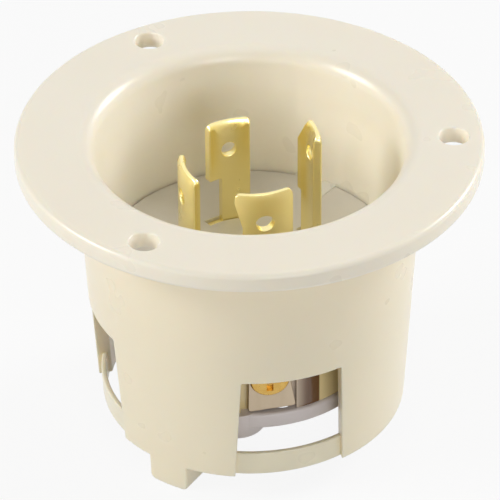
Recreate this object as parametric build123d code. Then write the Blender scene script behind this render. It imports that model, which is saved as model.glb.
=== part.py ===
from build123d import *
import os
from math import asin, cos, degrees, radians, sin, tan

# Twist lock flanged inlet, in millimetres.
# Origin: centre of the flange's seating face. +Z points out of the panel, towards the mating connector.
# The four blades, terminals and windows lie near the X and Y axes.

# Flange
flange_dia = 82.6
flange_thickness = 3.2
flange_edge_round = 1.0
flange_hole_dia = 5.3
flange_hole_margin = 5.4
flange_hole_first_angle = 105.0
flange_hole_count = 3

# Recess, measured down from the front of the flange
recess_depth = 25.1
recess_wall = 3.25
recess_draft = 2.8
mouth_round = 3.0
rim_root_round = 1.0

# Skirt behind the flange
skirt_top_dia = 61.4
skirt_draft = 3.25
skirt_overhang = 7.3
skirt_wall = 2.4

# Windows in the skirt
window_count = 4
window_lintel = 0.7
window_top_width = 18.1
window_draft = 2.0
window_corner_round = 0.3
window_first_angle = 0.0

# Tie band that joins the legs between the windows
tie_height = 4.8
tie_thickness = 0.9
tie_inset = 1.0

# Screw posts inside two of the legs
post_angles = (42.4, 222.4)
post_width = 7.8
post_depth = 6.8
post_drop = 5.2
post_corner_round = 1.1
post_hole_dia = 2.6
post_hole_depth = 14.0
post_hole_inset = 3.2
post_clearance = 0.3

# Front disc, dropped in from the front on to the shelf
disc_thickness = 3.6
disc_clearance = 0.15
shelf_thickness = 3.0
shelf_width = 3.2
disc_edge_round = 0.3

# Key tooth of the shelf, which stands in a notch of the disc
key_angle = 38.0
key_spread = 19.0
key_reach = 5.15
key_clearance = 0.15
key_wall_overlap = 2.4

# Terminal housing
housing_clearance = 0.3
collar_overlap = 1.1
collar_height = 2.6
housing_height = 15.0
pocket_depth_below_top = 3.0
pocket_clearance = 0.15

# Rear cover
cover_clearance = 2.7
cover_thickness = 3.1
cover_edge_round = 0.6
cover_boss_radius = 5.4
cover_boss_overhang = 0.6
cover_boss_drop = 2.5
cover_boss_round = 1.5
cover_screw_terminals = (1, 3)
cover_screw_aside = 0.1

# Cover screws and the brass inserts that they turn into
cover_screw_dia = 2.7
cover_screw_head_dia = 5.2
cover_screw_head_height = 2.0
cover_screw_hole_clearance = 0.15
cover_screw_head_clearance = 0.2
insert_dia = 4.0
insert_length = 2.4
insert_groove_width = 0.6
insert_groove_depth = 0.25

# Blades, curved about the inlet's axis
blade_inner_radius = 11.2
blade_thickness = 1.5
blade_tip_depth = 3.9
ground_tip_depth = 0.0
blade_bevel_height = 1.2
blade_bevel_width = 0.45
blade_corner = 0.8
blade_hole_depth = 9.8
blade_edge_bevel = 0.4
ground_slope_width = 3.0
ground_slope_height = 5.1
side_slope_depth = 5.7
side_slope_width = 1.3
side_slope_height = 4.9
notch_top_depth = 15.9
notch_floor_drop = 0.5
blade_slot_clearance = 0.15
foot_gap = 0.1
cut_margin = 1.0

# Terminals, one a quarter turn after another
terminal_lag = 6.8
terminal_plate_inset = 5.55
terminal_plate_width = 5.8
terminal_plate_end_gap = 0.7
terminal_bend_radius = 0.4
terminal_screw_drop = 3.9
terminal_screw_dia = 3.4
terminal_screw_reach = 3.4
terminal_screw_head_dia = 7.2
terminal_screw_head_height = 1.5
terminal_screw_head_round = 0.5
thread_clearance = 0.05

# Clamp plates under the screw heads, which stand backed out and have turned the plates a little
clamp_thickness = 1.2
clamp_gap = 2.6
clamp_turn = 4.5
clamp_top_width = 6.7
clamp_bottom_width = 8.6
clamp_top_gap = 1.0
clamp_end_gap = 0.5
clamp_side_gap = 0.7

# Drive recesses of the screws
drive_width = 1.1
terminal_drive_length = 5.0
cover_drive_length = 3.2
drive_depth = 0.9

# Wire holes in the rear cover
wire_hole_dia = 4.8
wire_hole_aside = 2.6
wire_hole_inset = 1.9

# Each blade: name, clockwise end, counter-clockwise end, width of the locking notch (all three in degrees),
# and hole diameter
blade_plan = (
    ("ground", -17.0, 26.0, 5.0, 2.8),
    ("neutral", 74.5, 114.0, 13.0, 2.8),
    ("hot_x", 161.0, 205.0, 11.0, 2.8),
    ("hot_y", 243.0, 291.6, 11.0, 3.2),
)

# Heights worked out from the sizes above
flange_top = flange_thickness
floor_top = flange_top - recess_depth
disc_bottom = floor_top - disc_thickness
shelf_bottom = disc_bottom - shelf_thickness
housing_bottom = disc_bottom - housing_height
cover_bottom = housing_bottom - cover_thickness
boss_bottom = cover_bottom - cover_boss_drop
skirt_bottom = cover_bottom - skirt_overhang
post_bottom = skirt_bottom - post_drop
foot_top = disc_bottom - foot_gap
foot_bottom = foot_top - blade_thickness
pocket_top = disc_bottom - pocket_depth_below_top
screw_height = pocket_top - terminal_screw_drop
clamp_top = pocket_top - clamp_top_gap
clamp_bottom = housing_bottom + clamp_end_gap
plate_bottom = housing_bottom + terminal_plate_end_gap
window_top = shelf_bottom - window_lintel

# Radii worked out from the sizes above
skirt_top_radius = skirt_top_dia / 2
skirt_end_radius = skirt_top_radius + skirt_bottom * tan(radians(skirt_draft))
mouth_radius = skirt_top_radius - recess_wall
floor_radius = mouth_radius - recess_depth * tan(radians(recess_draft))
seat_radius = mouth_radius - (recess_depth + disc_thickness) * tan(radians(recess_draft))
disc_radius = seat_radius - disc_clearance
shelf_radius = seat_radius - shelf_width
housing_radius = shelf_radius - housing_clearance
collar_radius = shelf_radius + collar_overlap
post_inner_radius = skirt_end_radius - post_depth
post_hole_radius = post_inner_radius + post_hole_inset
key_apex_radius = seat_radius - key_reach
cover_radius = skirt_end_radius - tie_inset - tie_thickness - cover_clearance
cover_screw_radius = cover_radius + cover_boss_overhang - cover_boss_radius
blade_outer_radius = blade_inner_radius + blade_thickness
cut_inner_radius = blade_inner_radius - cut_margin
cut_outer_radius = blade_outer_radius + cut_margin
plate_inner_radius = housing_radius - terminal_plate_inset
plate_outer_radius = plate_inner_radius + blade_thickness
screw_tip_radius = plate_inner_radius - terminal_screw_reach
clamp_inner_radius = plate_outer_radius + clamp_gap
clamp_outer_radius = clamp_inner_radius + clamp_thickness
head_outer_radius = clamp_outer_radius + terminal_screw_head_height
beyond = flange_dia


def skirt_radius(z):
    """Outer radius of the tapering skirt at a height."""
    return skirt_top_radius + z * tan(radians(skirt_draft))


def at_polar(radius, angle):
    """A point in the XY plane from a radius and an angle in degrees."""
    return (radius * cos(radians(angle)), radius * sin(radians(angle)))


def nearest_corner(face, point):
    """The vertex of a sketch that lies nearest to a point."""
    target = Vector(*point)
    return face.vertices().sort_by(lambda corner: (Vector(*corner) - target).length)[0]


def sector(inner, outer, start, end, bottom, top):
    """A block between two radii, two angles and two heights."""
    near = CenterArc((0, 0), inner, start, end - start)
    far = CenterArc((0, 0), outer, start, end - start)
    outline = make_face(near + far + Line(near @ 0, far @ 0) + Line(near @ 1, far @ 1))
    return Pos(0, 0, bottom) * extrude(outline, top - bottom)


def disc_at(radius, bottom, top, centre=(0, 0)):
    """An upright cylinder between two heights."""
    return Pos(centre[0], centre[1], bottom) * extrude(Circle(radius), top - bottom)


def facing(angle, radius=0.0):
    """A plane that faces outward at an angle, with X along the turn and Y up."""
    x, y = at_polar(radius, angle)
    outward = at_polar(1, angle)
    along = at_polar(1, angle + 90)
    return Plane(origin=(x, y, 0), x_dir=(along[0], along[1], 0), z_dir=(outward[0], outward[1], 0))


def outward_prism(points, angle, start, end):
    """A polygon of points along the turn and in height, pushed outward from one radius to another."""
    plane = facing(angle, start)
    return extrude(plane * Polygon(*points, align=None), end - start, dir=plane.z_dir)


def radial_bar(width, angle, start, end, bottom, top):
    """A straight bar that runs outward, between two radii and two heights."""
    half = width / 2
    points = ((-half, bottom), (half, bottom), (half, top), (-half, top))
    return outward_prism(points, angle, start, end)


def radial_pin(dia, angle, height, start, end):
    """A round bar that runs outward at a height."""
    return extrude(facing(angle, start) * Pos(0, height) * Circle(dia / 2), end - start)


def key_outline(clearance):
    """The tooth seen from above: one side along a radius, the other sloping back to the wall."""
    reach = skirt_top_radius
    apex = at_polar(key_apex_radius, key_angle)
    far = at_polar(reach, key_angle)
    slope_end = at_polar(seat_radius, key_angle + key_spread)
    slope = Vector(*slope_end) - Vector(*apex)
    beyond_wall = Vector(*slope_end) + slope.normalized() * key_wall_overlap
    outline = Polygon(apex, far, (beyond_wall.X, beyond_wall.Y), align=None)
    if clearance > 0:
        outline = offset(outline, clearance, kind=Kind.INTERSECTION)
    return outline


def terminal_angle(index):
    """Angle of a terminal, a little clockwise of its window's middle."""
    return window_first_angle + index * 360 / window_count - terminal_lag


def cover_screw_centres():
    """Where the cover screws stand: each just clockwise of a terminal's pocket."""
    aside = clamp_bottom_width / 2 + clamp_side_gap + cover_screw_aside
    turn = degrees(asin(aside / cover_screw_radius))
    return [at_polar(cover_screw_radius, terminal_angle(index) - turn) for index in cover_screw_terminals]


def casing_section():
    """Half of the casing's section: flange, recess wall, shelf and tapering skirt."""
    rim = flange_dia / 2
    corners = (
        (shelf_radius, shelf_bottom),
        (shelf_radius, disc_bottom),
        (seat_radius, disc_bottom),
        (mouth_radius, flange_top),
        (rim, flange_top),
        (rim, 0),
        (skirt_radius(0), 0),
        (skirt_radius(skirt_bottom), skirt_bottom),
        (skirt_radius(skirt_bottom) - skirt_wall, skirt_bottom),
        (skirt_radius(shelf_bottom) - skirt_wall, shelf_bottom),
    )
    section = Polygon(*corners, align=None)
    section = fillet(nearest_corner(section, (mouth_radius, flange_top)), mouth_round)
    section = fillet(nearest_corner(section, (rim, flange_top)), flange_edge_round)
    section = fillet(nearest_corner(section, (rim, 0)), flange_edge_round)
    section = fillet(nearest_corner(section, (skirt_radius(0), 0)), rim_root_round)
    return section


def window_cut(angle):
    """One window: a flat-topped opening that widens towards the rear."""
    drop = window_top - skirt_bottom + tie_height
    top_half = window_top_width / 2
    bottom_half = top_half + drop * tan(radians(window_draft))
    points = ((-bottom_half, window_top - drop), (bottom_half, window_top - drop),
              (top_half, window_top), (-top_half, window_top))
    opening = Polygon(*points, align=None)
    for x in (-top_half, top_half):
        opening = fillet(nearest_corner(opening, (x, window_top)), window_corner_round)
    return extrude(facing(angle, blade_outer_radius) * opening, beyond)


def skirt_cone(inset, bottom, top):
    """A solid frustum that follows the skirt, inset from its outer face."""
    section = Polygon((0, bottom), (skirt_radius(bottom) - inset, bottom),
                      (skirt_radius(top) - inset, top), (0, top), align=None)
    return revolve(Plane.XZ * section, Axis.Z)


def screw_post(angle):
    """A post inside a leg, which runs from the shelf to below the skirt."""
    half = post_width / 2
    outline = Polygon((-half, post_bottom), (half, post_bottom), (half, shelf_bottom), (-half, shelf_bottom),
                      align=None)
    for x in (-half, half):
        outline = fillet(nearest_corner(outline, (x, post_bottom)), post_corner_round)
    block = extrude(facing(angle, post_inner_radius) * outline, beyond)
    block = block & skirt_cone(0, post_bottom, shelf_bottom)
    hole = disc_at(post_hole_dia / 2, post_bottom, post_bottom + post_hole_depth,
                   at_polar(post_hole_radius, angle))
    return block, hole


def make_casing():
    """The nylon casing: one moulding of flange, recess, shelf, skirt, legs, tie band and posts."""
    body = revolve(Plane.XZ * casing_section(), Axis.Z)
    for n in range(window_count):
        body = body - window_cut(window_first_angle + n * 360 / window_count)
    tie_top = skirt_bottom + tie_height
    tie = skirt_cone(tie_inset, skirt_bottom, tie_top)
    tie = tie - skirt_cone(tie_inset + tie_thickness, skirt_bottom, tie_top)
    body = body + tie
    posts = [screw_post(angle) for angle in post_angles]
    for post, hole in posts:
        body = body + post
    for post, hole in posts:
        body = body - hole
    key = Pos(0, 0, disc_bottom) * extrude(key_outline(0), disc_thickness)
    key = key & disc_at(mouth_radius, disc_bottom, floor_top)
    body = body + key
    for n in range(flange_hole_count):
        turn = flange_hole_first_angle + n * 360 / flange_hole_count
        centre = at_polar(flange_dia / 2 - flange_hole_margin, turn)
        body = body - disc_at(flange_hole_dia / 2, 0, flange_top, centre)
    return body


def make_front_disc():
    """The disc that forms the recess floor, with a curved slot for each blade."""
    body = disc_at(disc_radius, disc_bottom, floor_top)
    body = fillet(body.edges().group_by(Axis.Z)[-1], disc_edge_round)
    body = body - Pos(0, 0, disc_bottom) * extrude(key_outline(key_clearance), disc_thickness)
    for name, start, end, notch, hole_dia in blade_plan:
        body = body - blade_slot(start, end, disc_bottom, floor_top)
    for centre in cover_screw_centres():
        body = body - disc_at(insert_dia / 2, disc_bottom, disc_bottom + insert_length, centre)
    return body


def blade_slot(start, end, bottom, top):
    """The curved slot that clears a blade's full width."""
    side = blade_slot_clearance
    turn = degrees(side / blade_inner_radius)
    return sector(blade_inner_radius - side, blade_outer_radius + side, start - turn, end + turn, bottom, top)


def make_housing():
    """The terminal housing: a collared drum with four pockets that open outward."""
    body = disc_at(housing_radius, housing_bottom, disc_bottom)
    collar_top = shelf_bottom - foot_gap
    body = body + disc_at(collar_radius, collar_top - collar_height, collar_top)
    gap = pocket_clearance
    for index, (name, start, end, notch, hole_dia) in enumerate(blade_plan):
        angle = terminal_angle(index)
        groove = blade_slot(start, end, foot_bottom - gap, disc_bottom)
        strip = radial_bar(terminal_plate_width + 2 * gap, angle, blade_inner_radius,
                           plate_outer_radius + gap, foot_bottom - gap, disc_bottom)
        shaft = radial_bar(terminal_plate_width + 2 * gap, angle, plate_inner_radius - gap,
                           clamp_inner_radius, housing_bottom, disc_bottom)
        pocket = radial_bar(clamp_bottom_width + 2 * clamp_side_gap, angle, clamp_inner_radius - gap,
                            beyond, housing_bottom, pocket_top)
        tail = radial_pin(terminal_screw_dia + 2 * gap, angle, screw_height,
                          screw_tip_radius - gap, plate_inner_radius)
        body = body - groove - strip - shaft - pocket - tail
    for angle in post_angles:
        body = body - radial_bar(post_width + 2 * post_clearance, angle, post_inner_radius - post_clearance,
                                 beyond, housing_bottom, shelf_bottom)
    for centre in cover_screw_centres():
        body = body - disc_at(cover_screw_dia / 2 + cover_screw_hole_clearance, housing_bottom, disc_bottom,
                              centre)
    return body


def make_rear_cover():
    """The rear cover: a rimmed plate with two screw bosses and a wire hole behind each terminal."""
    body = disc_at(cover_radius, cover_bottom, housing_bottom)
    body = fillet(body.edges(), cover_edge_round)
    for centre in cover_screw_centres():
        boss = disc_at(cover_boss_radius, boss_bottom, housing_bottom, centre)
        boss = fillet(boss.edges().group_by(Axis.Z)[0], cover_boss_round)
        body = body + boss
    for angle in post_angles:
        body = body - radial_bar(post_width + 2 * post_clearance, angle, post_inner_radius - post_clearance,
                                 beyond, boss_bottom, housing_bottom)
    for index in range(window_count):
        angle = terminal_angle(index)
        middle = Vector(*at_polar(clamp_inner_radius - wire_hole_inset, angle))
        sideways = Vector(*at_polar(wire_hole_aside, angle + 90))
        centre = middle + sideways
        body = body - disc_at(wire_hole_dia / 2, boss_bottom, housing_bottom, (centre.X, centre.Y))
    for centre in cover_screw_centres():
        head_top = boss_bottom + cover_screw_head_height + cover_screw_head_clearance
        body = body - disc_at(cover_screw_dia / 2 + cover_screw_hole_clearance, boss_bottom, housing_bottom,
                              centre)
        body = body - disc_at(cover_screw_head_dia / 2 + cover_screw_head_clearance, boss_bottom, head_top,
                              centre)
    return body


def bevelled_sector(start, end, bottom, top):
    """The curved blade seen from above, with its four upright edges bevelled."""
    near = CenterArc((0, 0), blade_inner_radius, start, end - start)
    far = CenterArc((0, 0), blade_outer_radius, start, end - start)
    outline = make_face(near + far + Line(near @ 0, far @ 0) + Line(near @ 1, far @ 1))
    outline = chamfer(outline.vertices(), blade_edge_bevel)
    return Pos(0, 0, bottom) * extrude(outline, top - bottom)


def terminal_strip(angle):
    """The blade's foot and the terminal plate below it: one strip, bent down, with the screw's hole."""
    profile = Polygon((blade_inner_radius, foot_bottom), (plate_inner_radius, foot_bottom),
                      (plate_inner_radius, plate_bottom), (plate_outer_radius, plate_bottom),
                      (plate_outer_radius, foot_top), (blade_inner_radius, foot_top), align=None)
    inner_bend = nearest_corner(profile, (plate_inner_radius, foot_bottom))
    profile = fillet(inner_bend, terminal_bend_radius)
    outer_bend = nearest_corner(profile, (plate_outer_radius, foot_top))
    profile = fillet(outer_bend, terminal_bend_radius + blade_thickness)
    strip = extrude(Plane.XZ * profile, terminal_plate_width / 2, both=True)
    strip = Rot(0, 0, angle) * strip
    strip = strip - disc_at(blade_inner_radius, foot_bottom, foot_top)
    return strip - radial_pin(terminal_screw_dia + 2 * thread_clearance, angle, screw_height,
                              plate_inner_radius, plate_outer_radius)


def make_blade(index, start, end, notch, hole_dia, tip_depth):
    """A curved blade with its foot and terminal plate, formed from one brass strip."""
    tip = flange_top - tip_depth
    shoulder = tip - blade_bevel_height
    inner_tip = blade_inner_radius + blade_bevel_width
    outer_tip = blade_outer_radius - blade_bevel_width
    section = Polygon((blade_inner_radius, foot_bottom), (blade_outer_radius, foot_bottom),
                      (blade_outer_radius, shoulder), (outer_tip, tip), (inner_tip, tip),
                      (blade_inner_radius, shoulder), align=None)
    body = Rot(0, 0, start) * revolve(Plane.XZ * section, Axis.Z, revolution_arc=end - start)
    body = body & bevelled_sector(start, end, foot_bottom, tip)
    notch_top = flange_top - notch_top_depth
    body = body - sector(cut_inner_radius, cut_outer_radius, end - notch, end + notch,
                         floor_top - notch_floor_drop, notch_top)
    middle = (start + end) / 2
    hole_height = tip - blade_hole_depth + blade_tip_depth
    body = body - radial_pin(hole_dia, middle, hole_height, cut_inner_radius, cut_outer_radius)
    for angle, side in ((start, 1), (end, -1)):
        points = ((0, tip - blade_corner), (side * blade_corner, tip), (0, tip + blade_corner),
                  (-side * blade_corner, tip))
        body = body - outward_prism(points, angle, cut_inner_radius, cut_outer_radius)
    return body + terminal_strip(terminal_angle(index))


def ground_tip_cut():
    """What the slope takes off the ground blade's tip, at its counter-clockwise corner."""
    name, start, end, notch, hole_dia = blade_plan[0]
    tip = flange_top - ground_tip_depth
    low = tip - ground_slope_height
    above = tip + cut_margin
    points = ((-ground_slope_width, tip), (0, low), (blade_thickness, low), (blade_thickness, above),
              (-ground_slope_width, above))
    return outward_prism(points, end, cut_inner_radius, cut_outer_radius)


def hot_y_side_cut():
    """What the slope takes off the clockwise side of the fourth blade, down to the recess floor."""
    name, start, end, notch, hole_dia = blade_plan[3]
    high = flange_top - side_slope_depth
    low = high - side_slope_height
    points = ((0, high), (side_slope_width, low), (side_slope_width, floor_top - notch_floor_drop),
              (-blade_thickness, floor_top - notch_floor_drop), (-blade_thickness, high))
    return outward_prism(points, start, cut_inner_radius, cut_outer_radius)


def make_clamp(index):
    """A clamp plate, wider at the rear, turned about its screw, with a hole for it."""
    angle = terminal_angle(index)
    rise = clamp_top - screw_height
    drop = clamp_bottom - screw_height
    outline = Polygon((-clamp_bottom_width / 2, drop), (clamp_bottom_width / 2, drop),
                      (clamp_top_width / 2, rise), (-clamp_top_width / 2, rise), align=None)
    place = facing(angle, clamp_inner_radius)
    body = extrude(place * Pos(0, screw_height) * Rot(0, 0, clamp_turn) * outline, clamp_thickness)
    return body - radial_pin(terminal_screw_dia + 2 * thread_clearance, angle, screw_height,
                             clamp_inner_radius, clamp_outer_radius)


def drive_cross(length):
    """A cross recess, centred on the origin and cut down from it."""
    bar = extrude(Rectangle(length, drive_width), -drive_depth)
    return bar + Rot(0, 0, 90) * bar


def make_terminal_screw(index):
    """A terminal screw that points inward, with a flat head and a cross recess."""
    angle = terminal_angle(index)
    head = extrude(Circle(terminal_screw_head_dia / 2), terminal_screw_head_height)
    head = fillet(head.edges().group_by(Axis.Z)[-1], terminal_screw_head_round)
    head = head - Pos(0, 0, terminal_screw_head_height) * drive_cross(terminal_drive_length)
    shank = extrude(Circle(terminal_screw_dia / 2), -(clamp_outer_radius - screw_tip_radius))
    place = facing(angle, clamp_outer_radius).location * Pos(0, screw_height, 0)
    return place * (head + shank)


def make_cover_screw(centre):
    """A long screw that holds the cover and housing to the front disc."""
    head_top = boss_bottom + cover_screw_head_height + cover_screw_head_clearance
    head_bottom = head_top - cover_screw_head_height
    head = disc_at(cover_screw_head_dia / 2, head_bottom, head_top)
    head = head - Pos(0, 0, head_bottom) * Rot(180, 0, 0) * drive_cross(cover_drive_length)
    shank = disc_at(cover_screw_dia / 2, head_top, disc_bottom + insert_length - foot_gap)
    return Pos(centre[0], centre[1], 0) * (head + shank)


def make_insert(centre):
    """A grooved brass insert, pressed into the front disc from behind."""
    body = disc_at(insert_dia / 2, disc_bottom, disc_bottom + insert_length)
    middle = disc_bottom + insert_length / 2
    groove = disc_at(insert_dia, middle - insert_groove_width / 2, middle + insert_groove_width / 2)
    groove = groove - disc_at(insert_dia / 2 - insert_groove_depth, disc_bottom, disc_bottom + insert_length)
    body = body - groove
    body = body - disc_at(cover_screw_dia / 2 + thread_clearance, disc_bottom, disc_bottom + insert_length)
    return Pos(centre[0], centre[1], 0) * body


def all_parts():
    """Every piece, by name."""
    parts = {
        "casing": make_casing(),
        "front_disc": make_front_disc(),
        "terminal_housing": make_housing(),
        "rear_cover": make_rear_cover(),
    }
    for index, (name, start, end, notch, hole_dia) in enumerate(blade_plan):
        tip_depth = ground_tip_depth if name == "ground" else blade_tip_depth
        parts[name + "_blade"] = make_blade(index, start, end, notch, hole_dia, tip_depth)
        parts[name + "_clamp"] = make_clamp(index)
        parts[name + "_screw"] = make_terminal_screw(index)
    parts["ground_blade"] = parts["ground_blade"] - ground_tip_cut()
    parts["hot_y_blade"] = parts["hot_y_blade"] - hot_y_side_cut()
    for number, centre in enumerate(cover_screw_centres(), start=1):
        parts[f"cover_screw_{number}"] = make_cover_screw(centre)
        parts[f"cover_insert_{number}"] = make_insert(centre)
    return parts


os.makedirs("parts", exist_ok=True)
for part_name, shape in all_parts().items():
    export_step(shape, f"parts/{part_name}.step")
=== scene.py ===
from math import asin, cos, pi, radians, sin, tan

import bmesh
import bpy
from mathutils import Matrix, Vector


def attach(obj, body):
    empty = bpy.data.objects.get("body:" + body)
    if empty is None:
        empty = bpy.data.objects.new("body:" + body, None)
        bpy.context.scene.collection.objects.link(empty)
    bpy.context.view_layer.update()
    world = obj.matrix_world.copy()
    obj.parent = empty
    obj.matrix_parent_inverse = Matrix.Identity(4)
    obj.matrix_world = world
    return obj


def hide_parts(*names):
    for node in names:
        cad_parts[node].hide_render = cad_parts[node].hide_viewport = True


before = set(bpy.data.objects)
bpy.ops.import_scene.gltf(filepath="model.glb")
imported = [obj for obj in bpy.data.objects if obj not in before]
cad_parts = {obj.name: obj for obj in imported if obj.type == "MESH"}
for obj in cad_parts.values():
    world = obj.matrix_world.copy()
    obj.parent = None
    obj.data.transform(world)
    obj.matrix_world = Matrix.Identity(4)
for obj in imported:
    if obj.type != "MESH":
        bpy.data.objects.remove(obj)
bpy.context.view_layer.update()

# Casing
# One moulding of natural nylon: a flange, a deep tapered recess, and a skirt whose four windows leave legs,
# tied together at the rear by an inset band. Its edges are round. Its colour carries painted light and shade: paler
# painted light on the flange and in the recess, and a deeper, yellower painted shade on the thin skirt.

MM = 0.001
flange_radius = 41.3
flange_top = 3.2
flange_edge_round = 1.0
flange_hole_radius = 2.65
flange_hole_place = 35.9
flange_hole_angles = (105, 225, 345)
mouth_radius = 27.45
mouth_round = 3.0
recess_slope = tan(radians(2.8))
floor_top = -21.9
disc_bottom = -25.5
shelf_bottom = -28.5
seat_radius = mouth_radius - (flange_top - disc_bottom) * recess_slope
shelf_radius = seat_radius - 3.2
skirt_top_radius = 30.7
skirt_slope = tan(radians(3.25))
skirt_bottom = -50.9
skirt_wall = 2.4
skirt_joint = -0.4
root_round = 1.0
window_top = -29.2
window_half_width = 9.05
window_slope = tan(radians(2))
window_corner = 0.3
tie_top = -46.1
tie_inset = 1.0
tie_thickness = 0.9
post_angles = (42.4, 222.4)
post_half_width = 3.9
post_inner_radius = 21
post_bottom = -56.1
post_corner = 1.1
post_wall_cover = 0.4
pilot_hole_place = 24.2
pilot_hole_radius = 1.3
pilot_hole_depth = 14
key_reach = 20.9
key_angles = (38, 57)
key_root_overlap = 1
key_root_spread = 1.5
key_sunk = 0.5
key_edge_round = 0.15
edge_round = 0.28
tie_corner = 0.25
tie_extra_turns = 12
hidden = 0.02
pattern_radius = 28
turns = 240
flange_hole_turns = 72
hole_turns = 40
merge_gap = 1e-4
cut_gap = 1e-5
weld_gap = 0.002
sliver_length = 0.001
flat_weight = 90
window_reach = radians(21)
post_reach = radians(12)
post_fade = radians(3)
tab_fade = 4
rim_angles = (12, 30, 50, 70, 90)
drill_margin = 1
drill_flare = 0.2
drill_step = 0.1
flange_tone_radii = (25.5, 28)
skirt_tone_radii = (26.9, 27.3)
skirt_tone_heights = (3.4, 8)
rear_tone_heights = (28.5, 30)


def rounded(corners, radii, steps=8):
    """An outline whose listed corners are rounded by arcs."""
    outline = []
    for index, corner in enumerate(corners):
        here = Vector(corner)
        radius = radii.get(index, 0)
        if not radius:
            outline.append(here)
            continue
        back = (Vector(corners[index - 1]) - here).normalized()
        onward = (Vector(corners[(index + 1) % len(corners)]) - here).normalized()
        half = back.angle(onward) / 2
        centre = here + (back + onward).normalized() * radius / sin(half)
        first = here + back * radius / tan(half) - centre
        last = here + onward * radius / tan(half) - centre
        sweep = first.angle(last)
        for step in range(steps + 1):
            share = step / steps
            outline.append(centre + (first * sin((1 - share) * sweep) + last * sin(share * sweep)) / sin(sweep))
    return outline


def as_object(name, shape):
    """A new object for a shape in millimetres, now in metres, with its normals outward."""
    bmesh.ops.remove_doubles(shape, verts=shape.verts, dist=merge_gap)
    bmesh.ops.recalc_face_normals(shape, faces=shape.faces)
    bmesh.ops.scale(shape, vec=(MM, MM, MM), verts=shape.verts)
    mesh = bpy.data.meshes.new(name)
    shape.to_mesh(mesh)
    shape.free()
    made = bpy.data.objects.new(name, mesh)
    bpy.context.scene.collection.objects.link(made)
    return made


def turned(section, around=turns, centre=(0, 0)):
    """A closed section of radii and heights, turned about an upright axis."""
    shape = bmesh.new()
    rings = []
    for radius, height in section:
        angles = [2 * pi * turn / around for turn in range(around)]
        rings.append([shape.verts.new((centre[0] + radius * cos(angle), centre[1] + radius * sin(angle), height))
                      for angle in angles])
    for here, there in zip(rings, rings[1:] + rings[:1]):
        for turn in range(around):
            onward = (turn + 1) % around
            shape.faces.new((here[turn], here[onward], there[onward], there[turn]))
    return shape


def cylinder(radius, low, high, around, centre=(0, 0)):
    """An upright cylinder between two heights."""
    return turned(((0, low), (radius, low), (radius, high), (0, high)), around, centre)


def plate(outline, thickness):
    """A flat plate: an outline across and up, with its thickness behind it."""
    shape = bmesh.new()
    front = [shape.verts.new((x, 0, z)) for x, z in outline]
    back = [shape.verts.new((x, thickness, z)) for x, z in outline]
    shape.faces.new(front)
    shape.faces.new(list(reversed(back)))
    for index in range(len(outline)):
        onward = (index + 1) % len(outline)
        shape.faces.new((front[onward], front[index], back[index], back[onward]))
    bmesh.ops.recalc_face_normals(shape, faces=shape.faces)
    return shape


def at_end(element, ends):
    """Whether an edge or a face of a flat plate lies on one of its ends."""
    return any(all(abs(vert.co.x - end) < merge_gap for vert in element.verts) for end in ends)


def edges_rounded(shape, width, segments=3, ends=()):
    """Rounds the edges of a shape where its faces turn sharply, apart from those at the given ends."""
    sharp = radians(25)
    edges = [edge for edge in shape.edges
             if not at_end(edge, ends) and edge.is_manifold and edge.calc_face_angle() > sharp]
    bmesh.ops.bevel(shape, geom=edges, offset=width, segments=segments, profile=0.5, affect="EDGES",
                    clamp_overlap=True)
    return shape


def cut_across(shape, point, normal):
    """Adds edges to a shape where a plane crosses it."""
    bmesh.ops.bisect_plane(shape, geom=shape.verts[:] + shape.edges[:] + shape.faces[:], plane_co=point,
                           plane_no=normal, dist=cut_gap)


def sliced(shape, low, high, steps):
    """Cuts a flat plate across at even steps, so that it can be rolled."""
    for step in range(1, steps):
        cut_across(shape, (low + (high - low) * step / steps, 0, 0), (1, 0, 0))
    return shape


def moved(shape, place):
    """Moves each point of a shape to where a rule places it."""
    for vert in shape.verts:
        vert.co = place(vert.co)
    return shape


def on_plan(radius, angle):
    """A point of a plan from a radius and an angle in degrees."""
    return (radius * cos(radians(angle)), radius * sin(radians(angle)))


def directions(angle):
    """The way outward from the axis at an angle, and the way across it."""
    out = Vector(on_plan(1, angle) + (0,))
    return out, Vector((-out.y, out.x, 0))


def facing(angle):
    """A rule that turns a shape about the axis: its x runs across the angle, and its y outward."""
    out, across = directions(angle)
    return lambda point: out * point.y + across * point.x + Vector((0, 0, point.z))


def combined(piece, tool, operation):
    """The piece with a tool cut from it or joined to it."""
    step = piece.modifiers.new("combine", "BOOLEAN")
    step.operation = operation
    step.solver = "EXACT"
    step.object = tool
    settled(piece)
    bpy.data.objects.remove(tool)
    return piece


def settled(piece):
    """Turns the piece's modifiers into plain mesh."""
    evaluated = piece.evaluated_get(bpy.context.evaluated_depsgraph_get())
    mesh = bpy.data.meshes.new_from_object(evaluated)
    piece.modifiers.clear()
    piece.data = mesh


def smoothed(piece, sharp=38):
    """Shades the piece smooth, with its flats true and its sharp inner corners kept."""
    tidy = bmesh.new()
    tidy.from_mesh(piece.data)
    bmesh.ops.remove_doubles(tidy, verts=tidy.verts, dist=weld_gap * MM)
    bmesh.ops.dissolve_degenerate(tidy, edges=tidy.edges, dist=sliver_length * MM)
    tidy.to_mesh(piece.data)
    tidy.free()
    for face in piece.data.polygons:
        face.use_smooth = True
    piece.data.set_sharp_from_angle(angle=radians(sharp))
    even = piece.modifiers.new("even", "WEIGHTED_NORMAL")
    even.keep_sharp = True
    even.weight = flat_weight
    settled(piece)
    return piece


def skirt_radius(height):
    """Outer radius of the skirt at a height."""
    return skirt_top_radius + height * skirt_slope


def kept_parallel(offset, outside, inside, share):
    """How far a point turns as it goes inward, so that a cut side stays parallel to the cut's middle plane."""
    return share * (asin(max(-1, min(1, outside * sin(offset) / inside))) - offset)


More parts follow.
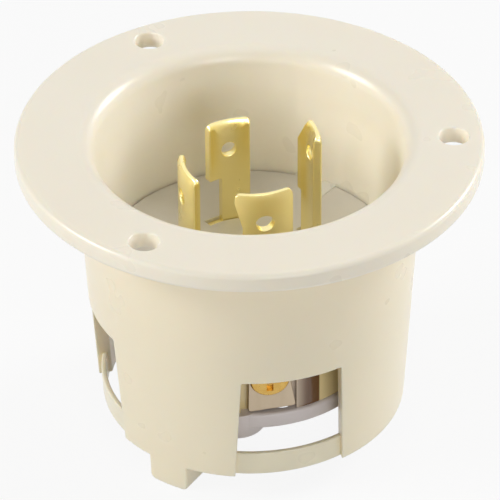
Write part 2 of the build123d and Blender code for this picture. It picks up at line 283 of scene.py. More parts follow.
def rolled_skirt(point):
    """Rolls the flat skirt about the axis on to its cone."""
    around = point.x / pattern_radius
    outside = skirt_radius(point.z)
    inside = outside - point.y
    from_window = around - round(around / (pi / 2)) * pi / 2
    window_share = min(1, (pi / 4 - abs(from_window)) / (pi / 4 - window_reach))
    turn = 0
    for post_angle in post_angles:
        from_post = around - radians(post_angle)
        near = max(0, min(1, (post_reach - abs(from_post)) / post_fade))
        low = max(0, min(1, (skirt_bottom + tab_fade - point.z) / tab_fade))
        turn += kept_parallel(from_post, outside, inside, near * low) if near * low else 0
        window_share *= 1 - near * low
    turn += kept_parallel(from_window, outside, inside, window_share)
    return Vector((inside * cos(around + turn), inside * sin(around + turn), point.z))


def skirt_pattern():
    """The skirt's outline laid flat: windows open towards the rear, and a tab hangs below each post's leg."""
    corners = [(-45, skirt_bottom)]
    rounds = {}
    low_half_width = window_half_width + (window_top - skirt_bottom) * window_slope
    for window in (0, 90, 180, 270):
        low_half = asin(low_half_width / skirt_radius(skirt_bottom)) * 180 / pi
        top_half = asin(window_half_width / skirt_radius(window_top)) * 180 / pi
        rounds[len(corners) + 1] = rounds[len(corners) + 2] = window_corner
        corners += [(window - low_half, skirt_bottom), (window - top_half, window_top),
                    (window + top_half, window_top), (window + low_half, skirt_bottom)]
        for post_angle in post_angles:
            if window < post_angle < window + 90:
                half = asin(post_half_width / skirt_radius(skirt_bottom)) * 180 / pi
                tip_half = asin(post_half_width / skirt_radius(post_bottom)) * 180 / pi
                rounds[len(corners) + 1] = rounds[len(corners) + 2] = post_corner
                corners += [(post_angle - half, skirt_bottom), (post_angle - tip_half, post_bottom),
                            (post_angle + tip_half, post_bottom), (post_angle + half, skirt_bottom)]
    corners += [(315, skirt_bottom), (315, skirt_joint), (-45, skirt_joint)]
    return rounded([(radians(angle) * pattern_radius, height) for angle, height in corners], rounds, steps=6)


seam = (radians(-45) * pattern_radius, radians(315) * pattern_radius)
skirt = edges_rounded(plate(skirt_pattern(), skirt_wall), edge_round, ends=seam)
bmesh.ops.delete(skirt, geom=[face for face in skirt.faces if at_end(face, seam)], context="FACES")
skirt = as_object("skirt", moved(sliced(skirt, seam[0], seam[1], turns), rolled_skirt))

root_start = skirt_radius(-root_round) + root_round - 2 * hidden
root = [(root_start - root_round * sin(radians(angle)), -root_round + root_round * cos(radians(angle)))
        for angle in range(0, 91, 10)]
upper_section = rounded(
    ((shelf_radius, shelf_bottom), (shelf_radius, disc_bottom), (seat_radius, disc_bottom),
     (mouth_radius, flange_top), (flange_radius, flange_top), (flange_radius, 0)),
    {0: edge_round, 1: edge_round, 3: mouth_round, 4: flange_edge_round, 5: flange_edge_round}, steps=10)
upper_section += [Vector(point) for point in root]
upper_section += [Vector((skirt_radius(-root_round) - skirt_wall / 2, -root_round)),
                  Vector((skirt_radius(shelf_bottom) - skirt_wall / 2, shelf_bottom))]
casing = as_object("nylon_casing", turned(upper_section))


def rimmed_hole(radius, low, high, rim=edge_round, through=True):
    """The section of a drill that leaves a hole with rounded rims."""
    arc = [(radius + rim * (1 - sin(radians(angle))), high - rim * (1 - cos(radians(angle))))
           for angle in rim_angles]
    flare = radius + rim + drill_flare
    top = [(0, high + drill_margin), (flare, high + drill_margin), (radius + rim, high + drill_step)]
    if through:
        bottom = [(across, low + high - height) for across, height in reversed(arc)]
        bottom += [(radius + rim, low - drill_step), (flare, low - drill_margin), (0, low - drill_margin)]
    else:
        bottom = [(radius, low), (0, low)]
    return top + arc + bottom


for angle in flange_hole_angles:
    drill = turned(rimmed_hole(flange_hole_radius, 0, flange_top), flange_hole_turns,
                   on_plan(flange_hole_place, angle))
    combined(casing, as_object("drill", drill), "DIFFERENCE")
combined(casing, skirt, "UNION")

tie_low = skirt_bottom + hidden
tie_section = rounded(
    ((skirt_radius(tie_low) - tie_inset, tie_low), (skirt_radius(tie_top) - tie_inset, tie_top),
     (skirt_radius(tie_top) - tie_inset - tie_thickness, tie_top),
     (skirt_radius(tie_low) - tie_inset - tie_thickness, tie_low)), dict.fromkeys(range(4), tie_corner), steps=4)
combined(casing, as_object("tie_band", turned(tie_section, turns + tie_extra_turns)), "UNION")

for angle in post_angles:
    half = post_half_width - hidden
    low = post_bottom + hidden
    high = shelf_bottom + hidden
    outline = rounded(((-half, low), (half, low), (half, high), (-half, high)), {0: post_corner, 1: post_corner})
    post_outer_radius = skirt_radius(low) - post_wall_cover
    post = edges_rounded(plate(outline, post_outer_radius - post_inner_radius), edge_round)
    moved(post, lambda point: Vector((point.x, post_outer_radius - point.y, point.z)))
    combined(casing, as_object("post", moved(post, facing(angle))), "UNION")
    pilot = turned(rimmed_hole(pilot_hole_radius, -post_bottom - pilot_hole_depth, -post_bottom, through=False),
                   hole_turns, on_plan(pilot_hole_place, angle))
    moved(pilot, lambda point: Vector((point.x, point.y, -point.z)))
    combined(casing, as_object("pilot", pilot), "DIFFERENCE")


def lying(low):
    """A rule that lays a plate's outline level, with its thickness rising from a height."""
    return lambda point: Vector((point.x, point.z, low + point.y))


key_outline = (on_plan(key_reach, key_angles[0]), on_plan(seat_radius + key_root_overlap, key_angles[0]),
               on_plan(seat_radius + key_root_overlap, key_angles[1] + key_root_spread))
key = edges_rounded(plate(key_outline, floor_top - disc_bottom + key_sunk), key_edge_round)
combined(casing, as_object("key_tooth", moved(key, lying(disc_bottom - key_sunk))), "UNION")
smoothed(casing)


class Value:
    """A shader socket that can be added, subtracted and multiplied."""

    def __init__(self, finish, socket):
        self.finish = finish
        self.socket = socket

    def __add__(self, other):
        return self.finish.maths("ADD", self, other)

    def __sub__(self, other):
        return self.finish.maths("SUBTRACT", self, other)

    def __rsub__(self, other):
        return self.finish.maths("SUBTRACT", other, self)

    def __mul__(self, other):
        return self.finish.maths("MULTIPLY", self, other)

    __radd__ = __add__
    __rmul__ = __mul__


class Finish:
    """A material made from one Principled shader and the nodes that feed it."""

    def __init__(self, name, **constants):
        self.material = bpy.data.materials.new(name)
        self.material.use_nodes = True
        self.tree = self.material.node_tree
        self.shader = self.tree.nodes["Principled BSDF"]
        for title, value in constants.items():
            self.shader.inputs[title.replace("_", " ").title().replace("Ior", "IOR")].default_value = value

    def node(self, kind, settings, *inputs, output=0):
        """A node with its settings made first, then its inputs in order or as (name, value) pairs."""
        made = self.tree.nodes.new(kind)
        for name, value in settings.items():
            setattr(made, name, value)
        for index, value in enumerate(inputs):
            target = made.inputs[index]
            if isinstance(value, tuple) and isinstance(value[0], (str, int)) and len(value) == 2:
                target = made.inputs[value[0]]
                value = value[1]
            self.plug(target, value)
        return Value(self, made.outputs[output])

    def plug(self, target, value):
        """Links a value to an input, or writes a number there."""
        if isinstance(value, Value):
            self.tree.links.new(value.socket, target)
        else:
            target.default_value = value

    def maths(self, operation, *inputs):
        """A maths operation on sockets or numbers."""
        return self.node("ShaderNodeMath", {"operation": operation}, *inputs)

    def place(self, stretch=(1, 1, 1)):
        """Object coordinates, stretched along each axis."""
        spot = self.node("ShaderNodeTexCoord", {}, output="Object")
        return self.node("ShaderNodeMapping", {}, ("Vector", spot), ("Scale", stretch))

    def distance(self, *axes):
        """How far a point is from the origin, along the given axes only."""
        kept = tuple(int(axis in axes) for axis in "xyz")
        return self.node("ShaderNodeVectorMath", {"operation": "LENGTH"}, ("Vector", self.place(kept)),
                         output="Value")

    def noise(self, scale, detail=2, stretch=(1, 1, 1)):
        """Soft random variation, from 0 to 1."""
        return self.node("ShaderNodeTexNoise", {}, ("Vector", self.place(stretch)), ("Scale", scale),
                         ("Detail", detail))

    def blend(self, first, second, share):
        """A colour between two others."""
        return self.node("ShaderNodeMix", {"data_type": "RGBA"}, (0, share), (6, first), (7, second), output=2)

    def rise(self, value, start, end):
        """Runs smoothly from 0 to 1 as a value passes from start to end."""
        return self.node("ShaderNodeMapRange", {"interpolation_type": "SMOOTHSTEP"}, value, start, end)

    def rise_over(self, value, span):
        """Runs smoothly from 0 to 1 as a value in metres passes a span in millimetres."""
        return self.rise(value, span[0] * MM, span[1] * MM)

    def feed(self, title, value):
        """Links a value to one of the shader's inputs."""
        self.plug(self.shader.inputs[title], value)

    def relief(self, height, depth):
        """Feeds a height, in metres at full depth, to the shader's normal."""
        bump = self.node("ShaderNodeBump", {}, ("Strength", 1.0), ("Distance", depth), ("Height", height))
        self.feed("Normal", bump)


nylon = Finish("natural_nylon", subsurface_weight=0.4, subsurface_scale=0.002, ior=1.53)
nylon.shader.inputs["Subsurface Radius"].default_value = (1.0, 0.8, 0.55)
cloud = nylon.noise(38, 3)
streak = nylon.noise(26, 2, (1, 1, 0.25))
drift = cloud * 0.6 + streak * 0.4
from_axis = nylon.distance("x", "y")
from_seat = nylon.distance("z")
# Painted shade: the skirt's outside below the flange and everything deeper than the shelf take a deeper, yellower
# tone.
skirt_side = nylon.rise_over(from_axis, skirt_tone_radii) * nylon.rise_over(from_seat, skirt_tone_heights)
rear_end = nylon.rise_over(from_seat, rear_tone_heights)
skirt_shade_share = skirt_side + rear_end - skirt_side * rear_end
flange_light_share = nylon.rise_over(from_axis, flange_tone_radii)
# Painted light: the flange takes a paler painted highlight and the recess walls a still paler painted light, over
# random drift.
lit_flange_tone = nylon.blend((0.91, 0.84, 0.70, 1), (0.95, 0.885, 0.76, 1), drift)
lit_recess_tone = nylon.blend((0.92, 0.885, 0.79, 1), (0.96, 0.925, 0.84, 1), drift)
shaded_skirt_tone = nylon.blend((0.88, 0.79, 0.59, 1), (0.92, 0.835, 0.64, 1), drift)
lit_front_tone = nylon.blend(lit_recess_tone, lit_flange_tone, flange_light_share)
nylon.feed("Base Color", nylon.blend(lit_front_tone, shaded_skirt_tone, skirt_shade_share))
nylon.feed("Roughness", nylon.noise(120, 2) * 0.1 + 0.24)
nylon.relief(nylon.noise(60, 1) + nylon.noise(900, 2) * 0.02, 0.00004)
casing.data.materials.append(nylon.material)
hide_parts("casing")
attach(casing, "root")

# Front disc
# A warm grey moulding that drops in from the front and makes the recess floor. It has a curved slot for each
# blade, a notch for the casing's key tooth, and two pressed-in brass inserts behind.

disc_gap = 0.15
disc_radius = seat_radius - disc_gap
disc_edge_round = 0.3
blade_inner_radius = 11.2
blade_thickness = 1.5
slot_gap = 0.15
slot_steps = 16
key_gap = 0.15
notch_overlap = 2
notch_spread = (0.2, 0.35, 3)
insert_radius = 2.0
insert_turns = 48
insert_length = 2.4
cover_screw_places = (on_plan(18.41, 67.12), on_plan(18.41, 247.12))
blade_spans = {"ground": (-17.0, 26.0), "neutral": (74.5, 114.0), "hot_x": (161.0, 205.0), "hot_y": (243.0, 291.6)}

disc = as_object("recess_floor_disc", turned(
    rounded(((0, disc_bottom), (disc_radius, disc_bottom), (disc_radius, floor_top), (0, floor_top)),
            {2: disc_edge_round}, steps=4)))


def curved_slot(inner, outer, start, end):
    """The plan of a slot that follows a circle."""
    far = [on_plan(outer, start + (end - start) * step / slot_steps) for step in range(slot_steps + 1)]
    near = [on_plan(inner, end + (start - end) * step / slot_steps) for step in range(slot_steps + 1)]
    return far + near


def cut_through_disc(name, outline):
    """Cuts an outline right through the disc."""
    tool = plate(outline, floor_top - disc_bottom + 2 * drill_margin)
    combined(disc, as_object(name, moved(tool, lying(disc_bottom - drill_margin))), "DIFFERENCE")


for start, end in blade_spans.values():
    spare = slot_gap / blade_inner_radius * 180 / pi
    cut_through_disc("slot", curved_slot(blade_inner_radius - slot_gap,
                                         blade_inner_radius + blade_thickness + slot_gap,
                                         start - spare, end + spare))
cut_through_disc("key_notch", (on_plan(key_reach - 2 * key_gap, key_angles[0] - notch_spread[0]),
                               on_plan(disc_radius + notch_overlap, key_angles[0] - notch_spread[1]),
                               on_plan(disc_radius + notch_overlap, key_angles[1] + notch_spread[2])))
for place in cover_screw_places:
    seat = cylinder(insert_radius, disc_bottom - drill_margin, disc_bottom + insert_length, insert_turns, place)
    combined(disc, as_object("insert_seat", seat), "DIFFERENCE")
smoothed(disc)

grey = Finish("grey_moulded_plastic", ior=1.5)
mottle = grey.noise(70, 3) * 0.5 + grey.noise(600, 2) * 0.5
grey.feed("Base Color", grey.blend((0.77, 0.735, 0.67, 1), (0.83, 0.795, 0.73, 1), mottle))
grey.feed("Roughness", grey.noise(240, 3) * 0.12 + 0.34)
grey.relief(grey.noise(1600, 2), 0.00002)
disc.data.materials.append(grey.material)
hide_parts("front_disc")
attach(disc, "root")

inserts = Finish("insert_brass", metallic=1.0)
inserts.feed("Base Color", inserts.blend((0.72, 0.54, 0.20, 1), (0.80, 0.62, 0.26, 1), inserts.noise(900, 2)))
inserts.feed("Roughness", inserts.noise(1500, 2) * 0.15 + 0.3)


def dressed(piece, *finishes):
    """Gives a piece its materials and takes away any that it had."""
    piece.data.materials.clear()
    for finish in finishes:
        piece.data.materials.append(finish.material)


for name in ("cover_insert_1", "cover_insert_2"):
    dressed(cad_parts[name], inserts)

# Blades
# Four strips of bright brass, sheared, bevelled and rolled about the inlet's axis. Each has a hole, a hook for the
# turn lock, a foot under the disc, and a terminal plate bent down behind it.

blade_middle_radius = blade_inner_radius + blade_thickness / 2
blade_tip = -0.7
ground_tip = 3.2
foot_top = -25.6
foot_bottom = foot_top - blade_thickness
hook_height = -12.7
slot_sunk = 0.5
slot_floor = floor_top - slot_sunk
tip_bevel_height = 1.2
tip_bevel_depth = 0.45
tip_corner = 0.85
side_round = 0.3
blade_slices = 24
hook_corner = 0.25
hook_lip_corner = 0.35
slope_corner = 0.6
ground_slope_height = 5.1
ground_slope_width = 3.0
side_slope_width = 1.3
side_slope_heights = (-2.5, -7.4)
sheared_tilt = 0.3
sheared_below_floor = 2
hole_below_tip = 5.9
hook_widths = {"ground": 5.0, "neutral": 13.0, "hot_x": 11.0, "hot_y": 11.0}
hole_radii = {"ground": 1.4, "neutral": 1.4, "hot_x": 1.4, "hot_y": 1.6}
terminal_angles = {"ground": -6.8, "neutral": 83.2, "hot_x": 173.2, "hot_y": 263.2}
terminal_plate_radius = 17.0
terminal_plate_half_width = 2.9
terminal_plate_bottom = -39.8
terminal_bend = 0.4
terminal_screw_height = -32.4
terminal_hole_radius = 1.75
strip_root_overlap = 0.7
strip_edge_round = 0.12

brass = Finish("bright_brass", metallic=1.0)
sheen = brass.noise(90, 3, (1, 1, 0.12))
tarnish = brass.noise(160, 4)
brass.feed("Base Color", brass.blend((0.96, 0.83, 0.36, 1), (1.0, 0.90, 0.50, 1), sheen * 0.5 + tarnish * 0.5))
brass.feed("Roughness", sheen * 0.1 + tarnish * 0.1 + 0.16)
brass.relief(brass.noise(500, 3, (1, 1, 0.15)) + brass.noise(90, 1) * 2, 0.00003)
sheared = Finish("sheared_brass_edge", metallic=1.0)
grain = sheared.noise(1300, 3, (1, 1, 0.6))
sheared.feed("Base Color", sheared.blend((0.62, 0.46, 0.20, 1), (0.92, 0.78, 0.44, 1), grain))
sheared.feed("Roughness", grain * 0.2 + 0.28)
sheared.relief(grain, 0.00006)


def blade_outline(name, width):
    """The blade laid flat: its tip, its hook above the recess floor, and its slopes."""
    tip = ground_tip if name == "ground" else blade_tip
    hook = radians(hook_widths[name]) * blade_middle_radius
    corners = [(width, foot_bottom), (width, slot_floor), (width - hook, slot_floor), (width - hook, hook_height),
               (width, hook_height)]
    rounds = {2: hook_corner, 3: hook_corner, 4: hook_lip_corner}
    if name == "ground":
        rounds[5] = rounds[6] = slope_corner
        corners += [(width, tip - ground_slope_height), (width - ground_slope_width, tip)]
    else:
        rounds[5] = tip_corner
        corners += [(width, tip)]
    rounds[len(corners)] = tip_corner
    corners += [(0, tip)]
    if name == "hot_y":
        rounds[len(corners)] = rounds[len(corners) + 1] = slope_corner
        corners += [(0, side_slope_heights[0]), (side_slope_width, side_slope_heights[1]),
                    (side_slope_width, slot_floor), (0, slot_floor)]
    corners += [(0, foot_bottom)]
    return rounded(corners, rounds, steps=5), tip


def terminal_tap(angle, near, far):
    """A drill for a terminal screw's hole, from one radius to another."""
    out, across = directions(angle)
    tap = cylinder(terminal_hole_radius, near, far, hole_turns)
    moved(tap, lambda point: out * point.z + across * point.x + Vector((0, 0, terminal_screw_height + point.y)))
    return as_object("tap", tap)


for name, (start, end) in blade_spans.items():
    width = radians(end - start) * blade_middle_radius
    outline, tip = blade_outline(name, width)
    blade = as_object("blade", plate(outline, blade_thickness))
    punch = cylinder(hole_radii[name], -drill_margin, 2 * blade_thickness, hole_turns)
    moved(punch, lambda point: Vector((width / 2 + point.x, point.z, tip - hole_below_tip + point.y)))
    combined(blade, as_object("punch", punch), "DIFFERENCE")
    shape = bmesh.new()
    shape.from_mesh(blade.data)
    bpy.data.objects.remove(blade)
    bmesh.ops.scale(shape, vec=(1 / MM, 1 / MM, 1 / MM), verts=shape.verts)
    edges_rounded(shape, side_round)
    shoulder = tip - tip_bevel_height
    cut_across(shape, (0, 0, shoulder), (0, 0, 1))
    shape.normal_update()
    for face in shape.faces:
        seen = face.calc_center_median().z > floor_top - sheared_below_floor
        face.material_index = 1 if abs(face.normal.y) < sheared_tilt and seen else 0
    sliced(shape, 0, width, blade_slices)

    def pressed(point):
        """Thins the tip, then rolls the blade about the axis."""
        rise = max(0, point.z - shoulder) / tip_bevel_height
        middle = blade_thickness / 2
        depth = middle + (point.y - middle) * (1 - rise * 2 * tip_bevel_depth / blade_thickness)
        radius = blade_inner_radius + depth
        angle = radians(start) + point.x / blade_middle_radius
        return Vector((radius * cos(angle), radius * sin(angle), point.z))

    moved(shape, pressed)
    blade = as_object(name + "_brass_blade", shape)
    root = blade_inner_radius + strip_root_overlap
    inner = terminal_plate_radius
    outer = terminal_plate_radius + blade_thickness
    strip_outline = rounded(
        ((root, foot_bottom), (inner, foot_bottom), (inner, terminal_plate_bottom), (outer, terminal_plate_bottom),
         (outer, foot_top), (root, foot_top)), {1: terminal_bend, 4: terminal_bend + blade_thickness})
    strip = edges_rounded(plate(strip_outline, 2 * terminal_plate_half_width), strip_edge_round, 2)
    out, across = directions(terminal_angles[name])
    moved(strip, lambda point: (out * point.x + across * (point.y - terminal_plate_half_width)
                                + Vector((0, 0, point.z))))
    strip = as_object("strip", strip)
    combined(strip, terminal_tap(terminal_angles[name], inner - drill_margin, outer + drill_margin), "DIFFERENCE")
    combined(blade, strip, "UNION")
    smoothed(blade)
    dressed(blade, brass, sheared)
    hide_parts(name + "_blade")
    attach(blade, "root")

# Terminal housing
# A glossy khaki drum behind the disc, with a pocket for each terminal. It shows through the windows, with painted
# shade beside each terminal: a greyer strip that darkens to a brown band and ends sharply.

# Angles from each terminal of the painted shade band.
shade_band_angles = (11, 19)
shade_band_end_angles = (24, 24.8)
shade_strip_start_angle = 2

drum = Finish("glossy_housing_plastic", ior=1.52, coat_weight=0.3, coat_roughness=0.06)
along_x = drum.node("ShaderNodeSeparateXYZ", {}, drum.place())
along_y = Value(drum, along_x.socket.node.outputs["Y"])
bearing = drum.maths("ARCTAN2", along_y, along_x)
aside = drum.maths("WRAP", bearing - radians(terminal_angles["hot_y"]), pi / 4, -pi / 4)
# Painted shade: beside each terminal a greyer strip darkens to a brown band of painted shade that ends sharply.
shade_depth = drum.rise(aside, radians(shade_band_angles[0]), radians(shade_band_angles[1]))
past_shade_band = drum.rise(aside, radians(shade_band_end_angles[0]), radians(shade_band_end_angles[1]))
shade_strip_share = drum.rise(aside, 0, radians(shade_strip_start_angle)) * (1 - past_shade_band)
khaki = drum.blend((0.70, 0.57, 0.29, 1), (0.78, 0.64, 0.34, 1), drum.noise(45, 3))
shade_band_tone = drum.blend((0.60, 0.49, 0.37, 1), (0.13, 0.055, 0.015, 1), shade_depth)
drum.feed("Base Color", drum.blend(khaki, shade_band_tone, shade_strip_share))
drum.feed("Roughness", drum.noise(200, 2) * 0.08 + 0.12)
drum.relief(drum.noise(120, 1), 0.00003)
dressed(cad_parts["terminal_housing"], drum)

# Clamp plates
# A nickel-plated plate under each terminal screw, sheared from strip and wider towards the rear. Backing the screws
# out has turned the plates a little.

clamp_inner_radius = 21.1
clamp_thickness = 1.2
clamp_top = -29.5
clamp_bottom = -40.0
clamp_half_widths = (3.35, 4.3)
clamp_corner = 0.5
clamp_edge_round = 0.15
clamp_turn = radians(4.5)
clamp_tap_radii = (15, 24)

nickel = Finish("satin_nickel_plating", metallic=1.0)
brushed = nickel.noise(700, 3, (1, 1, 0.1))
nickel.feed("Base Color", nickel.blend((0.46, 0.37, 0.26, 1), (0.56, 0.46, 0.34, 1), brushed))
nickel.feed("Roughness", brushed * 0.15 + 0.28)
nickel.relief(brushed, 0.00002)

for name, angle in terminal_angles.items():
    outline = rounded(((-clamp_half_widths[1], clamp_bottom), (clamp_half_widths[1], clamp_bottom),
                       (clamp_half_widths[0], clamp_top), (-clamp_half_widths[0], clamp_top)),
                      dict.fromkeys(range(4), clamp_corner), steps=4)
    clamp = edges_rounded(plate(outline, clamp_thickness), clamp_edge_round)
    bmesh.ops.rotate(clamp, cent=(0, 0, terminal_screw_height), verts=clamp.verts,
                     matrix=Matrix.Rotation(-clamp_turn, 3, "Y"))
    moved(clamp, lambda point: Vector((point.x, clamp_inner_radius + clamp_thickness - point.y, point.z)))
    clamp = as_object(name + "_clamp_plate", moved(clamp, facing(angle)))
    combined(clamp, terminal_tap(angle, *clamp_tap_radii), "DIFFERENCE")
    smoothed(clamp)
    dressed(clamp, nickel)
    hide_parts(name + "_clamp")
    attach(clamp, "root")

# Screws
# A terminal screw with a flat cross-recessed head backs out of each terminal plate, brass on the hot side, nickel on
# the neutral and green on the ground. Two long steel screws hold the rear cover, housing and disc together.

head_radius = 3.6
head_height = 1.5
head_round = 0.5
head_under_round = 0.15
head_turns = 64
head_sharp = 32
drive_half_width = 0.6
drive_half_length = 2.4
drive_depth = 0.9
drive_tool_height = 3
shank_radius = 1.7
shank_length = 8.7
thread_depth = 0.3
thread_pitch = 0.8
thread_rib_share = 0.7
thread_steps = 28
thread_sides = 6
core_sides = 40
cover_head_radius = 2.6
cover_head_height = 2.0
cover_head_bottom = -45.9
cover_head_round = 0.3
cover_drive_half_length = 1.6
cover_shank_radius = 1.35
cover_shank_top = -23.2
cover_shank_length = cover_shank_top - cover_head_bottom - cover_head_height
cover_thread_depth = 0.25
cover_thread_pitch = 0.7


def threaded_shank(material):
    """A node tree that winds a thread round a core, from the sizes of a screw."""
    tree = bpy.data.node_groups.new("threaded_shank", "GeometryNodeTree")
    tree.interface.new_socket("Shank", in_out="OUTPUT", socket_type="NodeSocketGeometry")
    sockets = {}
    for title in ("Crest Radius", "Thread Depth", "Pitch", "Length"):
        sockets[title] = tree.interface.new_socket(title, in_out="INPUT", socket_type="NodeSocketFloat").identifier
    entry = tree.nodes.new("NodeGroupInput")
    leave = tree.nodes.new("NodeGroupOutput")

    def maths(operation, first, second):
        """One sum of two sockets or numbers."""
        made = tree.nodes.new("ShaderNodeMath")
        made.operation = operation
        for index, value in enumerate((first, second)):
            if isinstance(value, (int, float)):
                made.inputs[index].default_value = value
            else:
                tree.links.new(value, made.inputs[index])
        return made.outputs[0]

    rib = maths("MULTIPLY", entry.outputs["Thread Depth"], thread_rib_share)
    rib_middle = maths("SUBTRACT", entry.outputs["Crest Radius"], rib)
    spiral = tree.nodes.new("GeometryNodeCurveSpiral")
    spiral.inputs["Resolution"].default_value = thread_steps
    tree.links.new(maths("DIVIDE", entry.outputs["Length"], entry.outputs["Pitch"]), spiral.inputs["Rotations"])
    tree.links.new(rib_middle, spiral.inputs["Start Radius"])
    tree.links.new(rib_middle, spiral.inputs["End Radius"])
    tree.links.new(entry.outputs["Length"], spiral.inputs["Height"])
    profile = tree.nodes.new("GeometryNodeCurvePrimitiveCircle")
    profile.inputs["Resolution"].default_value = thread_sides
    tree.links.new(rib, profile.inputs["Radius"])
    sweep = tree.nodes.new("GeometryNodeCurveToMesh")
    sweep.inputs["Fill Caps"].default_value = True
    tree.links.new(spiral.outputs["Curve"], sweep.inputs["Curve"])
    tree.links.new(profile.outputs["Curve"], sweep.inputs["Profile Curve"])
    core = tree.nodes.new("GeometryNodeMeshCylinder")
    core.inputs["Vertices"].default_value = core_sides
    tree.links.new(maths("SUBTRACT", entry.outputs["Crest Radius"], entry.outputs["Thread Depth"]),
                   core.inputs["Radius"])
    tree.links.new(entry.outputs["Length"], core.inputs["Depth"])
    lift = tree.nodes.new("GeometryNodeTransform")
    rise = tree.nodes.new("ShaderNodeCombineXYZ")
    tree.links.new(maths("MULTIPLY", entry.outputs["Length"], 0.5), rise.inputs["Z"])
    tree.links.new(core.outputs["Mesh"], lift.inputs["Geometry"])
    tree.links.new(rise.outputs["Vector"], lift.inputs["Translation"])
    join = tree.nodes.new("GeometryNodeJoinGeometry")
    tree.links.new(sweep.outputs["Mesh"], join.inputs[0])
    tree.links.new(lift.outputs["Geometry"], join.inputs[0])
    whole = tree.nodes.new("GeometryNodeRealizeInstances")
    coat = tree.nodes.new("GeometryNodeSetMaterial")
    coat.inputs["Material"].default_value = material
    tree.links.new(join.outputs[0], whole.inputs["Geometry"])
    tree.links.new(whole.outputs["Geometry"], coat.inputs["Geometry"])
    tree.links.new(coat.outputs["Geometry"], leave.inputs["Shank"])
    return tree, sockets


def screw(name, material, sizes, head, drive_length, place, node, slot_name):
    """A screw along its own axis, head at the far end, then set in its place."""
    tree, sockets = threaded_shank(material)
    body = bpy.data.objects.new(name, bpy.data.meshes.new(name))
    bpy.context.scene.collection.objects.link(body)
    winding = body.modifiers.new("thread", "NODES")
    winding.node_group = tree
    for title, value in sizes.items():
        winding[sockets[title]] = value * MM
    settled(body)
    top = as_object("head", turned(head, head_turns))
    drive_floor = max(height for radius, height in head) - drive_depth
    for turn in (0, 90):
        bar = plate(((-drive_length, -drive_half_width), (drive_length, -drive_half_width),
                     (drive_length, drive_half_width), (-drive_length, drive_half_width)), drive_tool_height)
        moved(bar, lying(drive_floor))
        bmesh.ops.rotate(bar, verts=bar.verts, matrix=Matrix.Rotation(radians(turn), 3, "Z"))
        combined(top, as_object("drive", bar), "DIFFERENCE")
    smoothed(top, head_sharp)
    joined = bmesh.new()
    joined.from_mesh(body.data)
    for face in joined.faces:
        face.smooth = True
    joined.from_mesh(top.data)
    bpy.data.objects.remove(top)
    bmesh.ops.transform(joined, matrix=place, verts=joined.verts)
    joined.to_mesh(body.data)
    joined.free()
    body.data.materials.clear()
    body.data.materials.append(material)
    for face in body.data.polygons:
        face.material_index = 0
    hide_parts(node)
    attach(body, "root")


golden = Finish("turned_screw_brass", metallic=1.0)
wear = golden.noise(800, 3)
golden.feed("Base Color", golden.blend((0.52, 0.30, 0.06, 1), (0.72, 0.49, 0.16, 1), wear))
golden.feed("Roughness", wear * 0.14 + 0.2)
golden.relief(wear, 0.00002)
green = Finish("green_dyed_screw", metallic=0.6)
green.feed("Base Color", green.blend((0.05, 0.19, 0.07, 1), (0.10, 0.30, 0.12, 1), green.noise(700, 3)))
green.feed("Roughness", green.noise(900, 2) * 0.15 + 0.25)
zinc = Finish("zinc_plated_steel", metallic=1.0)
zinc.feed("Base Color", zinc.blend((0.62, 0.62, 0.61, 1), (0.74, 0.74, 0.72, 1), zinc.noise(500, 3)))
zinc.feed("Roughness", zinc.noise(700, 2) * 0.15 + 0.25)


def screw_head(radius, height, base, round_over):
    """The section of a flat screw head that stands on the shank's end."""
    return rounded(((0, base), (radius, base), (radius, base + height), (0, base + height)),
                   {1: head_under_round, 2: round_over}, steps=5)


for name, finish, slot_name in (("ground", green, "ground_screw_green"), ("neutral", nickel, "clamp_plating"),
                                ("hot_x", golden, "screw_brass"), ("hot_y", golden, "screw_brass")):
    out, across = directions(terminal_angles[name])
    tip = clamp_inner_radius + clamp_thickness - shank_length
    place = Matrix((across, Vector((0, 0, 1)), out)).transposed().to_4x4()
    place.translation = (out * tip + Vector((0, 0, terminal_screw_height))) * MM
    screw(name + "_terminal_screw", finish.material,
          {"Crest Radius": shank_radius, "Thread Depth": thread_depth, "Pitch": thread_pitch,
           "Length": shank_length},
          screw_head(head_radius, head_height, shank_length, head_round), drive_half_length, place,
          name + "_screw", slot_name)

for number, (x, y) in enumerate(cover_screw_places, start=1):
    place = Matrix.Translation(Vector((x, y, cover_shank_top)) * MM) @ Matrix.Rotation(pi, 4, "X")
    screw(f"long_cover_screw_{number}", zinc.material,
          {"Crest Radius": cover_shank_radius, "Thread Depth": cover_thread_depth, "Pitch": cover_thread_pitch,
           "Length": cover_shank_length},
          screw_head(cover_head_radius, cover_head_height, cover_shank_length, cover_head_round),
          cover_drive_half_length, place, f"cover_screw_{number}", "cover_screw_steel")

# Rear cover
# A satin grey disc with rounded rims that closes the housing. Two round bosses take the long screws.

satin = Finish("satin_cover_plastic", ior=1.5)
satin.feed("Base Color", satin.blend((0.66, 0.60, 0.585, 1), (0.73, 0.675, 0.665, 1), satin.noise(90, 3)))
satin.feed("Roughness", satin.noise(300, 3) * 0.12 + 0.28)
satin.relief(satin.noise(1400, 2), 0.00002)
dressed(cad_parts["rear_cover"], satin)

# Studio
# The inlet stands on a pale floor in even, soft light, seen from the photograph's side and height.

floor_half_size = 3000
floor_glow_share = 0.9
lamp_aim = Vector((0, 0, -0.02))

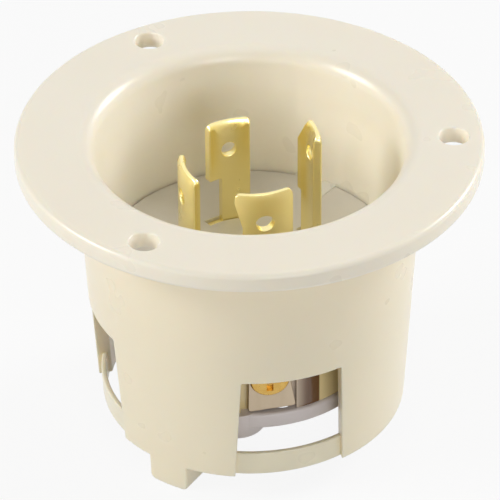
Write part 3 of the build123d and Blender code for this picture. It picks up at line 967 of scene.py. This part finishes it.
floor_mesh = bmesh.new()
bmesh.ops.create_grid(floor_mesh, x_segments=1, y_segments=1, size=floor_half_size)
bmesh.ops.translate(floor_mesh, vec=(0, 0, post_bottom), verts=floor_mesh.verts)
floor = as_object("floor", floor_mesh)
pale = Finish("pale_floor", roughness=0.9)
pale.shader.inputs["Base Color"].default_value = (0.6, 0.6, 0.6, 1)
path = pale.tree.nodes.new("ShaderNodeLightPath")
glow = pale.tree.nodes.new("ShaderNodeEmission")
glow.inputs["Strength"].default_value = 1
seen = Value(pale, path.outputs["Is Camera Ray"])
glossy = Value(pale, path.outputs["Is Glossy Ray"])
through = Value(pale, path.outputs["Is Transmission Ray"])
mixed = pale.tree.nodes.new("ShaderNodeMixShader")
pale.plug(mixed.inputs[0], (seen + glossy + through) * floor_glow_share)
pale.tree.links.new(pale.shader.outputs[0], mixed.inputs[1])
pale.tree.links.new(glow.outputs[0], mixed.inputs[2])
pale.tree.links.new(mixed.outputs[0], pale.tree.nodes["Material Output"].inputs["Surface"])
floor.data.materials.append(pale.material)

world = bpy.data.worlds.new("studio")
bpy.context.scene.world = world
world.use_nodes = True
sky = world.node_tree
soft = sky.nodes["Background"]
soft.inputs["Color"].default_value = (1, 1, 1, 1)
soft.inputs["Strength"].default_value = 0.15
bright = sky.nodes.new("ShaderNodeBackground")
bright.inputs["Color"].default_value = (1, 1, 1, 1)
bright.inputs["Strength"].default_value = 1
path = sky.nodes.new("ShaderNodeLightPath")
either = sky.nodes.new("ShaderNodeMath")
either.operation = "MAXIMUM"
sky.links.new(path.outputs["Is Camera Ray"], either.inputs[0])
sky.links.new(path.outputs["Is Glossy Ray"], either.inputs[1])
choice = sky.nodes.new("ShaderNodeMixShader")
sky.links.new(either.outputs[0], choice.inputs[0])
sky.links.new(soft.outputs[0], choice.inputs[1])
sky.links.new(bright.outputs[0], choice.inputs[2])
sky.links.new(choice.outputs[0], sky.nodes["World Output"].inputs["Surface"])


def lamp(name, place, size, power):
    """A square soft lamp, aimed at the inlet."""
    light = bpy.data.lights.new(name, "AREA")
    light.size = size
    light.energy = power
    holder = bpy.data.objects.new(name, light)
    holder.location = place
    holder.rotation_euler = (lamp_aim - Vector(place)).to_track_quat("-Z", "Y").to_euler()
    bpy.context.scene.collection.objects.link(holder)


lamp("left_softbox", (-0.83, 0.09, 0.46), 0.4, 6.2)
lamp("right_softbox", (0.83, 0.15, 0.46), 0.4, 6.5)
lamp("front_softbox", (0.07, -0.82, 0.26), 0.4, 2.2)
lamp("top_softbox", (0.0, 0.0, 0.9), 0.5, 0.1)

view_turn = radians(-15)
view_height = radians(35.85)
view_distance = 0.85
aim_below_flange = 24.4
view_aim = Vector((0, 0, (flange_top - aim_below_flange) * MM))
picture_width = 500
focal_pixels = 4766
roll = radians(-0.33)
back = Vector((sin(view_turn) * cos(view_height), -cos(view_turn) * cos(view_height), sin(view_height)))
lens = bpy.data.cameras.new("camera")
lens.sensor_width = 36
lens.lens = focal_pixels / picture_width * lens.sensor_width
camera = bpy.data.objects.new("camera", lens)
camera.matrix_world = (Matrix.Translation(view_aim + back * view_distance)
                       @ back.to_track_quat("Z", "Y").to_matrix().to_4x4() @ Matrix.Rotation(roll, 4, "Z"))
bpy.context.scene.collection.objects.link(camera)
bpy.context.scene.camera = camera
bpy.context.scene.view_settings.view_transform = "Standard"
